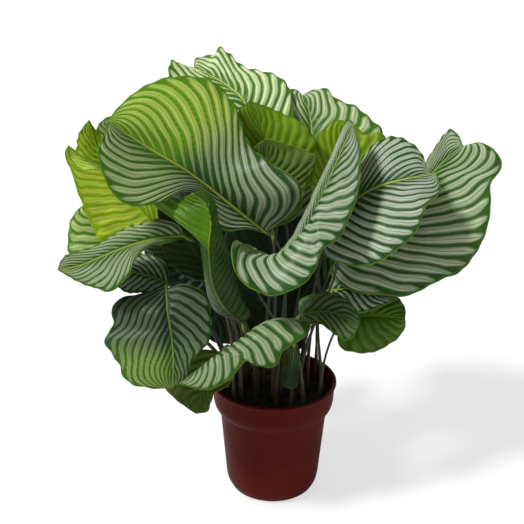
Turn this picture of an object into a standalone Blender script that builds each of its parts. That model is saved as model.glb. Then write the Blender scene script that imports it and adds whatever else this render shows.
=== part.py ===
"""Potted calathea: striped leaves on long stalks, in a plastic nursery pot filled with soil.

Metres, +Z up. The origin is the centre of the pot's base, and the pot stands on Z = 0.
The front of the plant faces -Y. Leaf outlines are given in millimetres.
"""
import math

import bmesh
import bpy
from mathutils import Vector

MM = 0.001

# ---- driving dimensions (metres) ----
POT_HEIGHT = 0.166
RIM_RADIUS = 0.0865
COLLAR_RADIUS = 0.0830
COLLAR_DEPTH = 0.043
BODY_TOP_RADIUS = 0.0735
KNEE_RADIUS = 0.0645
KNEE_HEIGHT = 0.024
FOOT_RADIUS = 0.0530
WALL = 0.0020
BASE_THICKNESS = 0.0025
SOIL_LEVEL = 0.142
SOIL_CROWN = 0.003
GAP = 0.0003
BLADE_THICKNESS = 0.0010

POT_STEPS = 48
DRAIN_HOLES = 6
DRAIN_HOLE_RADIUS = 0.0045
DRAIN_CIRCLE_RADIUS = 0.034
NOTCH_ANGLES = (195, 15)
NOTCH_RADIUS = 0.056
NOTCH_WIDTH = 0.024
NOTCH_HEIGHT = 0.013

# ---- how finely the leaves and stalks are made ----
BLADE_ROWS = 12
BLADE_COLUMNS = 3
STALK_POINTS = 9
STALK_ROOT_RADIUS = 4.2
STALK_RADIUS = 2.0
PULVINUS_RADIUS = 2.8
STALK_CLEARANCE = 2.6
ROOT_CLEARANCE = 1.0

# ---- colours: (red, green, blue), roughness ----
TERRACOTTA = ((0.110, 0.026, 0.014), 0.42)
SOIL_BROWN = ((0.018, 0.013, 0.010), 0.95)
LEAF_GREEN = ((0.085, 0.190, 0.050), 0.40)
STALK_GREEN = ((0.140, 0.160, 0.050), 0.50)
DRY_BEIGE = ((0.300, 0.240, 0.190), 0.80)

# ---- leaves ----
# A blade is three curves that meet at its base and its tip: the midrib, and the left and the
# right margin, as seen from above the blade with its tip pointing away. Crown is how far the
# left and the right half arch between the midrib and the margin, as a share of their width.
# Root is where the stalk leaves the soil (x, y). Climb and run say how far the stalk holds its
# direction at its root and at the blade, as a share of the distance between the two.
LEAVES = {
    "leaf_left_broad": dict(
        rib=[(-14, -30, 396), (-58, -38, 437), (-112, -45, 484), (-162, -55, 520), (-212, -65, 558)],
        left=[(-40, -50, 409), (-70, -60, 414), (-98, -64, 442), (-116, -82, 471),
              (-152, -108, 466), (-183, -115, 467), (-206, -110, 484), (-222, -98, 524), (-214, -84, 546)],
        right=[(25, -45, 438), (27, -60, 478), (-10, -46, 500), (-36, -16, 514), (-56, 14, 553),
               (-86, 24, 584), (-132, 10, 594), (-170, -12, 587), (-197, -35, 571)],
        crown=(0.10, 0.10), root=(12, -4), climb=0.45, run=0.30),
    "leaf_back_left": dict(
        rib=[(-12, 52, 482), (-43, 74, 538), (-65, 90, 556), (-90, 108, 566), (-114, 125, 571)],
        left=[(-50, 45, 484), (-100, 48, 522), (-140, 60, 555), (-146, 85, 573), (-142, 105, 588),
              (-127, 118, 577)],
        right=[(17, 60, 505), (18, 100, 545), (0, 120, 563), (-22, 130, 565), (-48, 140, 571),
               (-77, 145, 594), (-90, 140, 583), (-111, 130, 584)],
        crown=(-0.05, 0.08), root=(-14, 18), climb=0.50, run=0.30),
    "leaf_back_right": dict(
        rib=[(54, 60, 421), (48, 72, 472), (46, 85, 495), (42, 100, 520), (33, 120, 536)],
        left=[(16, 70, 458), (-2, 85, 505), (-4, 95, 530), (9, 110, 541), (22, 118, 546)],
        right=[(101, 70, 455), (142, 75, 480), (140, 85, 500), (127, 95, 511), (106, 110, 524),
               (84, 121, 529), (64, 131, 543), (46, 128, 541)],
        crown=(0.08, 0.10), root=(22, 34), climb=0.50, run=0.25),
    "leaf_crown_left": dict(
        rib=[(6, 5, 410), (-4, 22, 456), (-20, 38, 504), (-38, 52, 549)],
        left=[(35, 20, 430), (52, 28, 492), (42, 36, 512), (28, 44, 525), (10, 50, 531), (-14, 52, 541)],
        right=[(-28, 0, 433), (-46, 18, 494), (-52, 32, 524), (-52, 42, 540), (-45, 48, 544)],
        crown=(-0.06, -0.06), root=(4, 10), climb=0.45, run=0.25),
    "leaf_crown_right": dict(
        rib=[(72, 30, 391), (78, 42, 436), (83, 52, 476), (89, 62, 520)],
        left=[(115, 25, 415), (146, 35, 460), (140, 50, 505), (116, 56, 504), (101, 60, 516)],
        right=[(46, 32, 424), (47, 40, 468), (50, 50, 498), (60, 55, 511), (76, 60, 521)],
        crown=(-0.06, -0.06), root=(38, 20), climb=0.45, run=0.25),
    "leaf_inner": dict(
        rib=[(-6, -18, 398), (-10, -12, 440), (-14, -5, 478), (-15, 3, 515)],
        left=[(27, -22, 418), (37, -14, 460), (50, -2, 489), (35, 4, 499), (10, 5, 507)],
        right=[(-27, -25, 421), (-36, -18, 464), (-32, -6, 502)],
        crown=(-0.05, -0.05), root=(0, -18), climb=0.45, run=0.25),
    "leaf_front_tall": dict(
        rib=[(-16, -105, 381), (10, -98, 379), (28, -88, 400), (40, -78, 427), (57, -65, 466),
             (80, -42, 518), (95, -30, 548)],
        left=[(0, -75, 385), (22, -50, 400), (37, -35, 425), (56, -18, 459), (76, -8, 509), (88, -15, 546)],
        right=[(-36, -108, 396), (-50, -112, 420), (-56, -122, 408), (-50, -138, 386), (-29, -148, 370),
               (-3, -150, 363), (30, -142, 374), (50, -128, 389), (57, -118, 411), (77, -108, 425),
               (93, -95, 456), (103, -80, 490), (103, -60, 521)],
        crown=(0.15, 0.12), root=(26, -20), climb=0.55, run=0.20),
    "leaf_right_upper": dict(
        rib=[(76, -20, 386), (98, -30, 440), (126, -40, 466), (160, -46, 480), (202, -42, 487)],
        left=[(76, 8, 420), (107, 22, 474), (125, 18, 505), (147, 12, 517), (164, 4, 515), (182, -10, 506),
              (189, -22, 494), (191, -34, 485)],
        right=[(61, -48, 377), (89, -70, 370), (122, -86, 379), (152, -92, 401), (177, -86, 429),
               (186, -76, 453), (205, -60, 467)],
        crown=(0.10, 0.10), root=(34, -8), climb=0.45, run=0.30),
    "leaf_right_outer": dict(
        rib=[(77, 15, 331), (124, 28, 371), (172, 34, 419), (201, 34, 454), (224, 30, 483), (242, 24, 501)],
        left=[(94, 48, 376), (145, 60, 436), (185, 60, 450), (200, 58, 470), (213, 52, 496), (226, 46, 516),
              (237, 36, 510)],
        right=[(76, 2, 320), (103, -20, 309), (143, -33, 311), (171, -38, 311), (190, -40, 321),
               (216, -40, 337), (243, -37, 350), (266, -30, 381), (275, -22, 407), (278, -16, 433),
               (276, -10, 462), (288, -6, 479), (286, -2, 498), (264, 8, 511)],
        crown=(0.10, 0.10), root=(46, 6), climb=0.45, run=0.35),
    "leaf_right_low": dict(
        rib=[(95, -15, 267), (127, -24, 276), (154, -29, 277), (173, -34, 278)],
        left=[(102, -4, 287), (134, 0, 300), (165, -6, 294), (174, -20, 284)],
        right=[(84, -31, 253), (86, -42, 238), (108, -50, 233), (137, -51, 237), (162, -45, 252),
               (173, -40, 267)],
        crown=(0.08, 0.08), root=(62, -28), climb=0.40, run=0.30),
    "leaf_right_under": dict(
        rib=[(70, 5, 299), (99, -5, 306), (133, -14, 304), (163, -24, 301)],
        left=[(80, 20, 317), (113, 25, 327), (146, 10, 318)],
        right=[(80, -14, 288), (99, -30, 284), (120, -36, 287), (144, -34, 297)],
        crown=(0.12, 0.12), root=(66, -8), climb=0.40, run=0.30),
    "leaf_front_right": dict(
        rib=[(30, -62, 294), (56, -76, 306), (81, -90, 310), (106, -102, 298)],
        left=[(32, -48, 308), (52, -46, 318), (76, -52, 323), (96, -66, 317), (109, -86, 304)],
        right=[(40, -78, 290), (60, -95, 296), (76, -106, 288), (90, -112, 283), (101, -110, 289)],
        crown=(0.08, 0.10), root=(40, -38), climb=0.40, run=0.30),
    "leaf_front_drooping": dict(
        rib=[(-17, -98, 285), (-46, -116, 282), (-80, -142, 272), (-121, -168, 247)],
        left=[(11, -96, 301), (43, -104, 305), (38, -124, 292), (12, -136, 281), (0, -148, 264),
              (-24, -150, 265), (-37, -150, 269), (-59, -164, 251), (-88, -172, 241)],
        right=[(-10, -72, 268), (-26, -74, 250), (-55, -98, 242), (-90, -136, 236)],
        crown=(0.16, 0.06), root=(2, -42), climb=0.40, run=0.25),
    "leaf_lower_left": dict(
        rib=[(-140, -100, 348), (-137, -120, 324), (-131, -136, 291), (-129, -148, 262), (-130, -158, 235)],
        left=[(-116, -98, 353), (-89, -104, 343), (-82, -118, 320), (-83, -135, 293), (-104, -148, 270),
              (-110, -156, 249)],
        right=[(-170, -102, 341), (-193, -106, 337), (-208, -112, 327), (-207, -120, 304),
               (-217, -128, 286), (-201, -138, 261), (-187, -148, 238), (-156, -157, 234)],
        crown=(0.08, 0.10), root=(-56, -24), climb=0.40, run=0.20),
    "leaf_left_wing": dict(
        rib=[(-116, -72, 408), (-152, -84, 409), (-183, -95, 405), (-217, -104, 394), (-246, -108, 382),
             (-277, -104, 373)],
        left=[(-133, -85, 405), (-160, -104, 407), (-176, -124, 396), (-184, -136, 382), (-205, -142, 362),
              (-229, -136, 364), (-252, -122, 367)],
        right=[(-125, -62, 420), (-149, -62, 426), (-173, -68, 424), (-202, -76, 414), (-234, -88, 398),
               (-267, -98, 390)],
        crown=(0.10, 0.16), root=(-44, -40), climb=0.55, run=0.25),
    "leaf_left_under": dict(
        rib=[(-137, -66, 338), (-164, -68, 350), (-190, -72, 356), (-211, -78, 344)],
        left=[(-150, -82, 331), (-170, -86, 334), (-191, -86, 334)],
        right=[(-145, -46, 359), (-172, -42, 370), (-201, -56, 366)],
        crown=(0.08, 0.08), root=(-58, -4), climb=0.40, run=0.30),
    "leaf_left_bright": dict(
        rib=[(-149, -25, 395), (-186, -26, 440), (-216, -30, 474), (-238, -38, 496), (-264, -48, 520)],
        left=[(-145, -40, 434), (-176, -56, 468), (-206, -70, 487), (-227, -74, 498), (-245, -71, 497),
              (-261, -60, 504)],
        right=[(-179, -10, 357), (-206, -6, 346), (-229, -12, 370), (-247, -20, 410), (-259, -34, 464),
               (-269, -45, 504)],
        crown=(-0.06, 0.10), root=(-40, 20), climb=0.55, run=0.25),
    "leaf_left_rear": dict(
        rib=[(-212, 15, 429), (-223, 20, 461), (-236, 25, 494), (-246, 28, 528)],
        left=[(-196, 28, 452), (-207, 31, 487), (-225, 31, 500), (-239, 30, 515)],
        right=[(-241, 8, 431), (-262, 15, 470), (-262, 21, 497), (-258, 25, 513)],
        crown=(-0.06, -0.06), root=(-52, 34), climb=0.60, run=0.12),
    "leaf_left_top": dict(
        rib=[(-181, 34, 443), (-196, 44, 478), (-211, 56, 504), (-228, 63, 520)],
        left=[(-213, 44, 454), (-235, 51, 478), (-240, 57, 506)],
        right=[(-156, 44, 473), (-170, 56, 510), (-201, 63, 524)],
        crown=(0.08, 0.08), root=(-36, 34), climb=0.50, run=0.30),
    "leaf_left_edge": dict(
        rib=[(-198, 5, 337), (-210, 10, 370), (-229, 15, 400), (-253, 18, 416)],
        left=[(-223, -12, 332), (-256, -15, 340), (-274, -10, 352), (-276, 0, 374), (-273, 8, 394),
              (-264, 14, 407)],
        right=[(-183, 24, 362), (-195, 34, 401), (-229, 30, 418)],
        crown=(0.10, 0.08), root=(-60, 12), climb=0.35, run=0.35),
    "leaf_centre_upright": dict(
        rib=[(-42, -92, 297), (-66, -108, 329), (-80, -116, 364), (-85, -116, 408), (-82, -110, 444),
             (-90, -102, 466), (-106, -101, 478)],
        left=[(-33, -82, 303), (-44, -76, 325), (-52, -72, 349), (-59, -72, 382), (-66, -72, 405),
              (-74, -76, 430), (-78, -86, 461), (-90, -92, 478)],
        right=[(-80, -70, 305), (-92, -66, 346), (-99, -70, 400), (-104, -76, 428), (-135, -76, 438),
               (-160, -66, 452), (-146, -62, 463), (-122, -76, 462)],
        crown=(-0.25, -0.12), root=(-24, -28), climb=0.35, run=0.20),
    "leaf_pot_side": dict(
        rib=[(-70, -48, 231), (-84, -68, 211), (-95, -84, 187), (-103, -96, 163)],
        left=[(-100, -52, 235), (-131, -62, 215), (-144, -74, 190), (-126, -86, 175)],
        right=[(-52, -56, 217), (-60, -78, 197), (-79, -90, 190), (-87, -96, 168)],
        crown=(-0.06, -0.06), root=(-54, -42), climb=0.45, run=0.40),
    "leaf_young": dict(
        rib=[(26, -54, 243), (24, -62, 223), (21, -70, 204), (21, -76, 191)],
        left=[(34, -55, 237), (32, -63, 216), (30, -74, 196)],
        right=[(18, -56, 238), (13, -64, 215), (12, -74, 197)],
        crown=(0.08, 0.08), root=(24, -46), climb=0.60, run=0.20),
    "leaf_centre_shaded": dict(
        rib=[(-80, -37, 336), (-100, -42, 366), (-121, -47, 399), (-153, -54, 437)],
        left=[(-67, -30, 376), (-80, -34, 410), (-112, -43, 434), (-138, -49, 442)],
        right=[(-108, -40, 332), (-134, -48, 354), (-146, -53, 378), (-150, -56, 404)],
        crown=(-0.06, -0.06), root=(-22, -8), climb=0.50, run=0.30),
    "leaf_core": dict(
        rib=[(4, 52, 178), (0, 60, 236), (-4, 67, 294), (-8, 72, 346), (-10, 76, 388)],
        left=[(38, 51, 186), (50, 54, 214), (52, 60, 260), (56, 68, 308), (46, 74, 352), (18, 77, 383)],
        right=[(-26, 51, 186), (-40, 54, 214), (-50, 60, 250), (-60, 67, 300), (-70, 73, 350),
               (-50, 77, 383)],
        crown=(-0.04, -0.04), root=(4, 47), climb=0.30, run=0.20),
    "leaf_rear_broad": dict(
        rib=[(15, 84, 345), (22, 116, 380), (30, 150, 392), (40, 185, 372), (45, 205, 338)],
        left=[(-20, 84, 362), (-42, 110, 386), (-40, 150, 390), (-12, 190, 362)],
        right=[(50, 84, 364), (84, 106, 396), (100, 140, 402), (86, 180, 372)],
        crown=(0.10, 0.10), root=(18, 68), climb=0.55, run=0.15),
    "leaf_rear_left": dict(
        rib=[(-62, 72, 292), (-98, 82, 310), (-138, 88, 322), (-184, 90, 328)],
        left=[(-66, 55, 270), (-98, 50, 262), (-138, 54, 274), (-176, 70, 304)],
        right=[(-52, 100, 312), (-72, 134, 362), (-112, 150, 394), (-158, 130, 382)],
        crown=(0.10, 0.10), root=(-32, 66), climb=0.50, run=0.15),
    "leaf_rear_right": dict(
        rib=[(60, 60, 254), (94, 84, 304), (130, 110, 324), (168, 132, 306)],
        left=[(42, 78, 278), (66, 122, 322), (104, 150, 330), (148, 156, 308)],
        right=[(86, 46, 278), (124, 56, 314), (160, 82, 332), (180, 110, 316)],
        crown=(0.10, 0.10), root=(60, 46), climb=0.50, run=0.20),
    "leaf_rear_low": dict(
        rib=[(-62, 54, 250), (-75, 64, 238), (-88, 72, 214), (-97, 78, 188)],
        left=[(-82, 46, 258), (-106, 52, 244), (-116, 60, 214), (-110, 71, 194)],
        right=[(-46, 62, 232), (-42, 76, 206), (-52, 86, 180), (-74, 88, 172)],
        crown=(0.08, 0.08), root=(-61, 40), climb=0.55, run=0.15),
}


def principled(name, colour, roughness):
    """A plain Principled material in one colour."""
    material = bpy.data.materials.new(name)
    material.use_nodes = True
    shader = material.node_tree.nodes["Principled BSDF"]
    shader.inputs["Base Color"].default_value = (*colour, 1.0)
    shader.inputs["Roughness"].default_value = roughness
    return material


def add_object(name, data, collection, look):
    """A new object in the collection, with a material of its own."""
    obj = bpy.data.objects.new(name, data)
    data.materials.append(principled(name, *look))
    collection.objects.link(obj)
    return obj


def smooth_curve(points, count):
    """Count + 1 points, evenly spaced along the Catmull-Rom curve through the given points."""
    knots = [points[0] * 2 - points[1], *points, points[-1] * 2 - points[-2]]
    dense = [points[0]]
    for a, b, c, d in zip(knots, knots[1:], knots[2:], knots[3:]):
        for i in range(1, 13):
            t = i / 12
            dense.append(0.5 * (2 * b + (c - a) * t + (2 * a - 5 * b + 4 * c - d) * t ** 2
                                + (3 * b - a - 3 * c + d) * t ** 3))
    lengths = [0.0]
    for a, b in zip(dense, dense[1:]):
        lengths.append(lengths[-1] + (b - a).length)
    result = [dense[0]]
    j = 0
    for i in range(1, count):
        target = lengths[-1] * i / count
        while lengths[j + 1] < target:
            j += 1
        part = (target - lengths[j]) / (lengths[j + 1] - lengths[j])
        result.append(dense[j].lerp(dense[j + 1], part))
    result.append(dense[-1])
    return result


def blade_directions(leaf):
    """The blade's base, the midrib's direction there, and the direction its upper face looks."""
    rib = [Vector(p) for p in leaf["rib"]]
    along = (rib[1] - rib[0]).normalized()
    across = Vector(leaf["right"][0]) - Vector(leaf["left"][0])
    up = across.cross(along).normalized()
    return rib[0], along, up


def blade_rows(leaf):
    """Rows of points across the blade, from left margin to right, between its base and its tip."""
    rib = [Vector(p) for p in leaf["rib"]]
    curves = [smooth_curve(rib, BLADE_ROWS)]
    for side in ("left", "right"):
        edge = [rib[0], *(Vector(p) for p in leaf[side]), rib[-1]]
        curves.append(smooth_curve(edge, BLADE_ROWS))
    rows = []
    for i in range(1, BLADE_ROWS):
        middle, left, right = (curve[i] for curve in curves)
        along = curves[0][i + 1] - curves[0][i - 1]
        up = (right - left).cross(along).normalized()
        row = []
        for edge, crown, shares in (
                (left, leaf["crown"][0], range(BLADE_COLUMNS, 0, -1)),
                (right, leaf["crown"][1], range(0, BLADE_COLUMNS + 1))):
            rise = up * crown * (edge - middle).length
            for share in shares:
                t = share / BLADE_COLUMNS
                row.append(middle.lerp(edge, t) + rise * 4 * t * (1 - t))
        rows.append(row)
    return rows


def blade_mesh(name, leaf):
    """The blade as an open surface: strips between its rows, and fans at its base and its tip."""
    mesh = bpy.data.meshes.new(name)
    grid = bmesh.new()
    base = grid.verts.new(Vector(leaf["rib"][0]) * MM)
    tip = grid.verts.new(Vector(leaf["rib"][-1]) * MM)
    rows = [[grid.verts.new(p * MM) for p in row] for row in blade_rows(leaf)]
    for a, b in zip(rows[0], rows[0][1:]):
        grid.faces.new((base, b, a))
    for low, high in zip(rows, rows[1:]):
        for a, b, c, d in zip(low, low[1:], high[1:], high):
            grid.faces.new((a, b, c, d))
    for a, b in zip(rows[-1], rows[-1][1:]):
        grid.faces.new((a, b, tip))
    grid.to_mesh(mesh)
    grid.free()
    return mesh


def make_blade(name, leaf, collection):
    """One leaf blade: its surface made solid by half its thickness on each side."""
    obj = add_object(name, blade_mesh(name, leaf), collection, LEAF_GREEN)
    obj.data.shade_smooth()
    solid = obj.modifiers.new("thickness", "SOLIDIFY")
    solid.thickness = BLADE_THICKNESS
    solid.offset = 0.0
    return obj


def stalk_route(leaf):
    """Points up a stalk, in millimetres, from the soil to just under the blade's base."""
    base, along, up = blade_directions(leaf)
    end = base - up * STALK_CLEARANCE
    arriving = (along * 0.8 + up * 0.6).normalized()
    x, y = leaf["root"]
    root = Vector((x, y, (SOIL_LEVEL + SOIL_CROWN) / MM + ROOT_CLEARANCE))
    reach = (end - root).length
    low = root + Vector((0, 0, 1)) * reach * leaf["climb"]
    high = end - arriving * reach * leaf["run"]
    points = []
    for i in range(STALK_POINTS + 1):
        t = i / STALK_POINTS
        points.append(root * (1 - t) ** 3 + low * 3 * t * (1 - t) ** 2
                      + high * 3 * t ** 2 * (1 - t) + end * t ** 3)
    return points


def stalk_radius(share):
    """The stalk's radius in millimetres: a sheath at its foot, and a thicker joint at the blade."""
    if share > 0.93:
        return PULVINUS_RADIUS
    sheath = max(0.0, 1.0 - share / 0.45)
    return STALK_RADIUS + (STALK_ROOT_RADIUS - STALK_RADIUS) * sheath


def make_stalk(name, leaf, collection):
    """The stalk of one leaf: a round tube that thins upwards."""
    route = stalk_route(leaf)
    curve = bpy.data.curves.new(name, "CURVE")
    curve.dimensions = "3D"
    curve.bevel_depth = MM
    curve.bevel_resolution = 1
    curve.use_fill_caps = True
    spline = curve.splines.new("POLY")
    spline.points.add(len(route) - 1)
    for i, place in enumerate(route):
        spline.points[i].co = (*(place * MM), 1.0)
        spline.points[i].radius = stalk_radius(i / STALK_POINTS)
    return add_object(name, curve, collection, STALK_GREEN)


def turned(name, profile, collection, look):
    """A solid of revolution from a profile of (radius, height) that starts and ends on the axis."""
    mesh = bpy.data.meshes.new(name)
    mesh.from_pydata([(r, 0.0, z) for r, z in profile], [(i, i + 1) for i in range(len(profile) - 1)], [])
    obj = add_object(name, mesh, collection, look)
    screw = obj.modifiers.new("turn", "SCREW")
    screw.steps = POT_STEPS
    screw.render_steps = POT_STEPS
    screw.use_merge_vertices = True
    screw.merge_threshold = 0.0001
    screw.use_smooth_shade = True
    return obj


def outer_profile():
    """The pot's outer side, from the top of its rim down to the middle of its base."""
    collar_foot = POT_HEIGHT - COLLAR_DEPTH
    return [
        (RIM_RADIUS - 0.0012, POT_HEIGHT),
        (RIM_RADIUS, POT_HEIGHT - 0.0012),
        (RIM_RADIUS, POT_HEIGHT - 0.0040),
        (COLLAR_RADIUS + 0.0010, POT_HEIGHT - 0.0060),
        (COLLAR_RADIUS, collar_foot + 0.0150),
        (COLLAR_RADIUS - 0.0020, collar_foot + 0.0070),
        (BODY_TOP_RADIUS + 0.0040, collar_foot + 0.0015),
        (BODY_TOP_RADIUS, collar_foot - 0.0015),
        (KNEE_RADIUS, KNEE_HEIGHT),
        (KNEE_RADIUS - 0.0020, KNEE_HEIGHT * 0.55),
        (FOOT_RADIUS + 0.0045, KNEE_HEIGHT * 0.16),
        (FOOT_RADIUS, 0.0),
        (0.0, 0.0),
    ]


def inner_profile():
    """The pot's inner side, from the middle of its floor up to the top of its rim."""
    collar_foot = POT_HEIGHT - COLLAR_DEPTH
    return [
        (0.0, BASE_THICKNESS),
        (NOTCH_RADIUS - 0.0090, BASE_THICKNESS),
        (NOTCH_RADIUS - 0.0025, KNEE_HEIGHT * 0.35),
        (NOTCH_RADIUS - 0.0015, KNEE_HEIGHT * 0.65),
        (KNEE_RADIUS - WALL, KNEE_HEIGHT * 1.25),
        (BODY_TOP_RADIUS - WALL, collar_foot),
        (COLLAR_RADIUS - WALL - 0.0020, collar_foot + 0.0090),
        (COLLAR_RADIUS - WALL, collar_foot + 0.0170),
        (COLLAR_RADIUS - WALL + 0.0005, POT_HEIGHT - 0.0040),
        (COLLAR_RADIUS - WALL + 0.0010, POT_HEIGHT - 0.0010),
        (COLLAR_RADIUS - WALL + 0.0020, POT_HEIGHT),
    ]


def cutter(obj, cutters):
    """Moves a helper object to the cutters' collection, out of the model."""
    for collection in list(obj.users_collection):
        collection.objects.unlink(obj)
    cutters.objects.link(obj)
    obj.hide_render = True
    obj.display_type = "WIRE"
    return obj


def cut(obj, tool):
    """Cuts the tool's shape out of the object."""
    boolean = obj.modifiers.new("cut_" + tool.name, "BOOLEAN")
    boolean.operation = "DIFFERENCE"
    boolean.solver = "EXACT"
    boolean.object = tool


def make_pot(collection, cutters):
    """The pot: one turned wall and floor, with drainage holes and two notches in its foot."""
    pot = turned("pot", inner_profile() + outer_profile(), collection, TERRACOTTA)
    for i in range(DRAIN_HOLES):
        turn = 2 * math.pi * (i + 0.5) / DRAIN_HOLES
        place = (DRAIN_CIRCLE_RADIUS * math.cos(turn), DRAIN_CIRCLE_RADIUS * math.sin(turn), 0.0)
        bpy.ops.mesh.primitive_cylinder_add(
            vertices=12, radius=DRAIN_HOLE_RADIUS, depth=BASE_THICKNESS * 4, location=place)
        cut(pot, cutter(bpy.context.object, cutters))
    for angle in NOTCH_ANGLES:
        turn = math.radians(angle)
        reach = NOTCH_RADIUS + NOTCH_WIDTH / 2
        bpy.ops.mesh.primitive_cube_add(
            size=1, location=(reach * math.cos(turn), reach * math.sin(turn), 0.0), rotation=(0.0, 0.0, turn))
        box = bpy.context.object
        box.scale = (NOTCH_WIDTH, NOTCH_WIDTH, NOTCH_HEIGHT * 2)
        cut(pot, cutter(box, cutters))
    return pot


def make_soil(collection):
    """The soil that fills the pot, a gap clear of its wall, with a slightly domed top."""
    wall = [(r - GAP, z) for r, z in inner_profile()[2:8]]
    profile = [
        (0.0, SOIL_LEVEL + SOIL_CROWN),
        (0.068, SOIL_LEVEL + SOIL_CROWN),
        (COLLAR_RADIUS - WALL - GAP, SOIL_LEVEL),
        *reversed(wall),
        (NOTCH_RADIUS - 0.0100, BASE_THICKNESS + GAP),
        (0.0, BASE_THICKNESS + GAP),
    ]
    return turned("soil", profile, collection, SOIL_BROWN)


def main():
    for obj in list(bpy.data.objects):
        bpy.data.objects.remove(obj)
    plant = bpy.data.collections.new("potted_calathea")
    cutters = bpy.data.collections.new("cutters")
    bpy.context.scene.collection.children.link(plant)
    bpy.context.scene.collection.children.link(cutters)
    make_pot(plant, cutters)
    make_soil(plant)
    for name, leaf in LEAVES.items():
        make_blade(name, leaf, plant)
        make_stalk(name.replace("leaf", "stalk"), leaf, plant)


main()
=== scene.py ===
"""Looks of the potted calathea: fine leaf blades, stalks, soil and pot, around the CAD frame.

Metres, +Z up, in the CAD's own frame. The leaf table and all blade and stalk sizes are in millimetres.
"""
import math

import bmesh
import bpy
import numpy as np
from mathutils import Matrix, Vector


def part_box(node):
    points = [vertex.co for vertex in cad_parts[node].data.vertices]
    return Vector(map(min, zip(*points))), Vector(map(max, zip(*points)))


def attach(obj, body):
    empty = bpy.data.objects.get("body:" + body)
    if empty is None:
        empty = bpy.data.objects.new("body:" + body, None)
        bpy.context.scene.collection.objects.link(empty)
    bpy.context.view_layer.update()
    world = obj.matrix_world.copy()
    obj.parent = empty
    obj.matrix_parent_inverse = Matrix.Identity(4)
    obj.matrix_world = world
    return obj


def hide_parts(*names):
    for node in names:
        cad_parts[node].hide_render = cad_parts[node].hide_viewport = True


MM = 0.001
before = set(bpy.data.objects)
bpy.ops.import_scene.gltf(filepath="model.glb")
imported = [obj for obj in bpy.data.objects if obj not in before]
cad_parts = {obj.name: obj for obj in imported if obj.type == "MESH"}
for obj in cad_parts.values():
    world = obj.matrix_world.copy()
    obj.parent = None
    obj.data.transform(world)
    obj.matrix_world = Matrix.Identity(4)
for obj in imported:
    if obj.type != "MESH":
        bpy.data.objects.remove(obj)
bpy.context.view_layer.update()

# ---- leaf blades (millimetres) ----
ROW_SPACING = 1.7
FEWEST_ROWS = 40
MOST_ROWS = 150
COLUMNS = 22
BLADE_THICKNESS = 0.5
PLEAT_HEIGHT = 1.5
CREASE_DEPTH = 0.35
RIPPLE_HEIGHT = 2.2
GROOVE_DEPTH = 0.8
GROOVE_WIDTH = 4.0
SCALLOP_DEPTH = 0.8
RIB_HEIGHT = 1.1
RIB_WIDTH = 2.2
MIDRIB_AT_TIP = 0.8
MIDRIB_AT_BASE = 2.3
FULL_RIB_LENGTH = 200

# ---- stalks (millimetres) ----
STALK_STEPS = 40
STALK_SIDES = 12
STALK_RADIUS = 1.7
SHEATH_SWELLING = 2.3
SHEATH_SHARE = 0.45
JOINT_SWELLING = 1.0
JOINT_PLACE = 13
JOINT_LENGTH = 6.5
ROOT_HEIGHT = 146.0
ROOT_DEPTH = 6.0
STALK_CLEARANCE = 2.6

# ---- pot and soil (metres) ----
POT_STEPS = 128
RIM = 0.0865
COLLAR = 0.0830
COLLAR_DEPTH = 0.043
BODY = 0.0735
KNEE = 0.0645
KNEE_HEIGHT = 0.024
FOOT = 0.0530
WALL = 0.0020
FLOOR = 0.0025
NOTCH_RADIUS = 0.056
NOTCH_WIDTH = 0.024
NOTCH_HEIGHT = 0.013
NOTCH_ANGLES = (195, 15)
DRAIN_HOLES = 6
DRAIN_HOLE_RADIUS = 0.0045
DRAIN_CIRCLE_RADIUS = 0.034
SOIL_GAP = 0.0006
SOIL_RINGS = 60
SOIL_SPOKES = 150
SOIL_DIP = 0.0035
SOIL_SWELL = 0.0022
SOIL_BUMP = 0.0016
SOIL_LEVEL_RADIUS = 0.00804
CRUMBS = 420

# ---- light and camera (metres, degrees; sensor and lens in millimetres) ----
WORLD_LEVEL = 0.40
KEY_LEVEL = 0.85
KEY_SPREAD = 10.0
KEY_FROM = (-0.55, -0.35, 0.80)
FLOOR_SIZE = 30
FLOOR_AWAY = 8
FLOOR_GLOW = 0.62
CAMERA_PITCH = 24.0
CAMERA_ROLL = 0.8
CAMERA_DISTANCE = 2.0
CAMERA_AIM = (-0.0185, 0.0, 0.3415)
SENSOR_WIDTH = 36.0
LENS = 103.0534

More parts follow.
